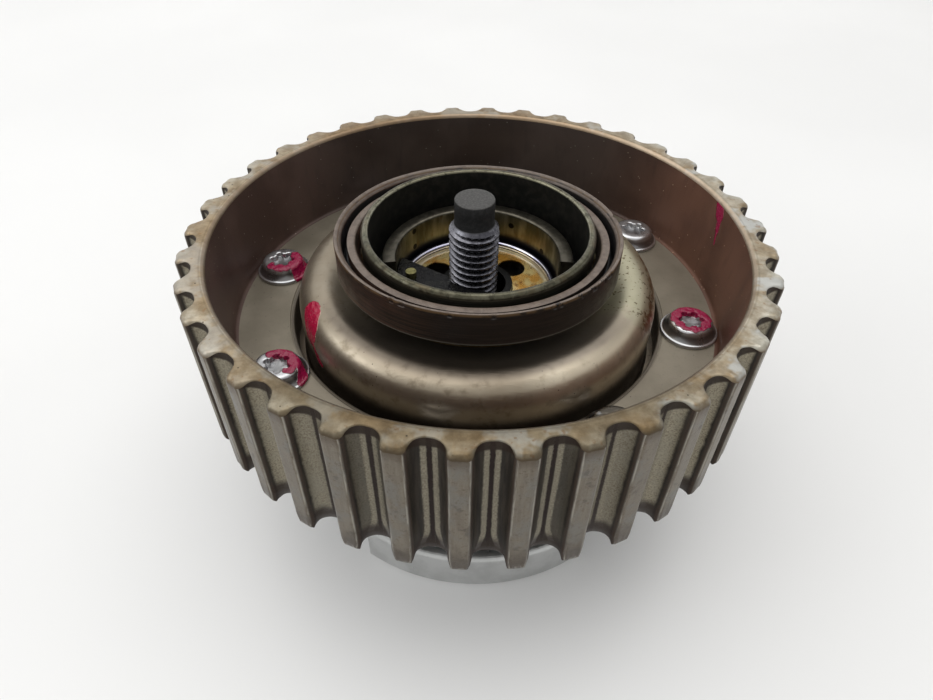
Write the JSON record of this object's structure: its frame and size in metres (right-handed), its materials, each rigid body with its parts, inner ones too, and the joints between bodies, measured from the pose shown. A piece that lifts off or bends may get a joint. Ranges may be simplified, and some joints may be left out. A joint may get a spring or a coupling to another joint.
{
  "type": "timing belt pulley with camshaft phaser",
  "caption": "Toothed timing belt pulley bolted round a hydraulic camshaft phaser with helical splines, a loose oil seal on its hub and a captive centre bolt.",
  "frame": {"origin": "on the unit's axis, in the flat front face that it lies on", "axes": "+Z along the camshaft axis towards the camshaft, -Y towards the half of the hub with the deep pocket"},
  "size_m": [0.1138, 0.114, 0.0705],
  "materials": {
    "pulley_steel": "sintered, worn",
    "cover_steel": "satin, oil stained",
    "housing_steel": "satin dark",
    "front_aluminium": "satin",
    "gasket_rubber": "matte",
    "screw_steel": "zinc plated",
    "black_steel": "black oxide",
    "bush_bronze": "satin",
    "hub_steel": "ground",
    "oiled_plate": "oily",
    "ring_chrome": "bright",
    "dowel_brass": "satin",
    "piston_steel": "ground",
    "seal_ring_plastic": "matte",
    "spring_steel": "satin",
    "bolt_steel": "black oxide",
    "seal_rubber": "satin"
  },
  "bodies": {
    "case": {"toothed_pulley": "pulley_steel", "rear_cover": "cover_steel", "drum_housing": "housing_steel", "front_cover": "front_aluminium", "front_gasket": "gasket_rubber", "flange_screws": "screw_steel", "cover_screws": "black_steel", "front_plug": "front_aluminium", "plug_o_ring": "gasket_rubber", "rear_cover_o_ring": "gasket_rubber", "rear_bush": "bush_bronze", "front_bush": "bush_bronze", "rear_thrust_washer": "bush_bronze", "front_thrust_washer": "bush_bronze"},
    "hub": {"camshaft_hub": "hub_steel", "oil_plate": "oiled_plate", "plate_retaining_ring": "ring_chrome", "baffle_plate": "black_steel", "locating_dowel": "dowel_brass"},
    "piston": {"phase_piston": "piston_steel", "piston_seal_ring": "seal_ring_plastic", "return_spring": "spring_steel"},
    "washer": {"bolt_washer": "bolt_steel"},
    "bolt": {"centre_bolt": "bolt_steel"},
    "seal": {"seal_case": "seal_rubber", "seal_lip": "seal_rubber", "garter_spring": "spring_steel"}
  },
  "joints": [
    {"name": "cam_phase", "type": "hinge", "parent": "case", "child": "hub", "pos_m": [0, 0, 0.05], "axis": [0, 0, 1], "range_deg": [0, 15]},
    {"name": "piston_slide", "type": "slide", "parent": "case", "child": "piston", "axis": [0, 0, 1], "range_m": [0, 0.01], "stiffness_N_per_m": 220, "springref_m": -0.04, "deforming": ["return_spring"]},
    {"name": "bolt_lift", "type": "slide", "parent": "hub", "child": "washer", "axis": [0, 0, 1], "range_m": [0, 0.0091]},
    {"name": "bolt_turn", "type": "hinge", "parent": "washer", "child": "bolt", "pos_m": [-0.0008, 0, 0.04], "axis": [0, 0, 1], "continuous": true},
    {"name": "seal_turn", "type": "hinge", "parent": "hub", "child": "seal", "pos_m": [0, 0, 0.0605], "axis": [0, 0.0419, 0.9991], "continuous": true}
  ],
  "couplings": [
    {"joint": "piston_slide", "follows": "cam_phase", "m_per_rad": 0.038197}
  ]
}
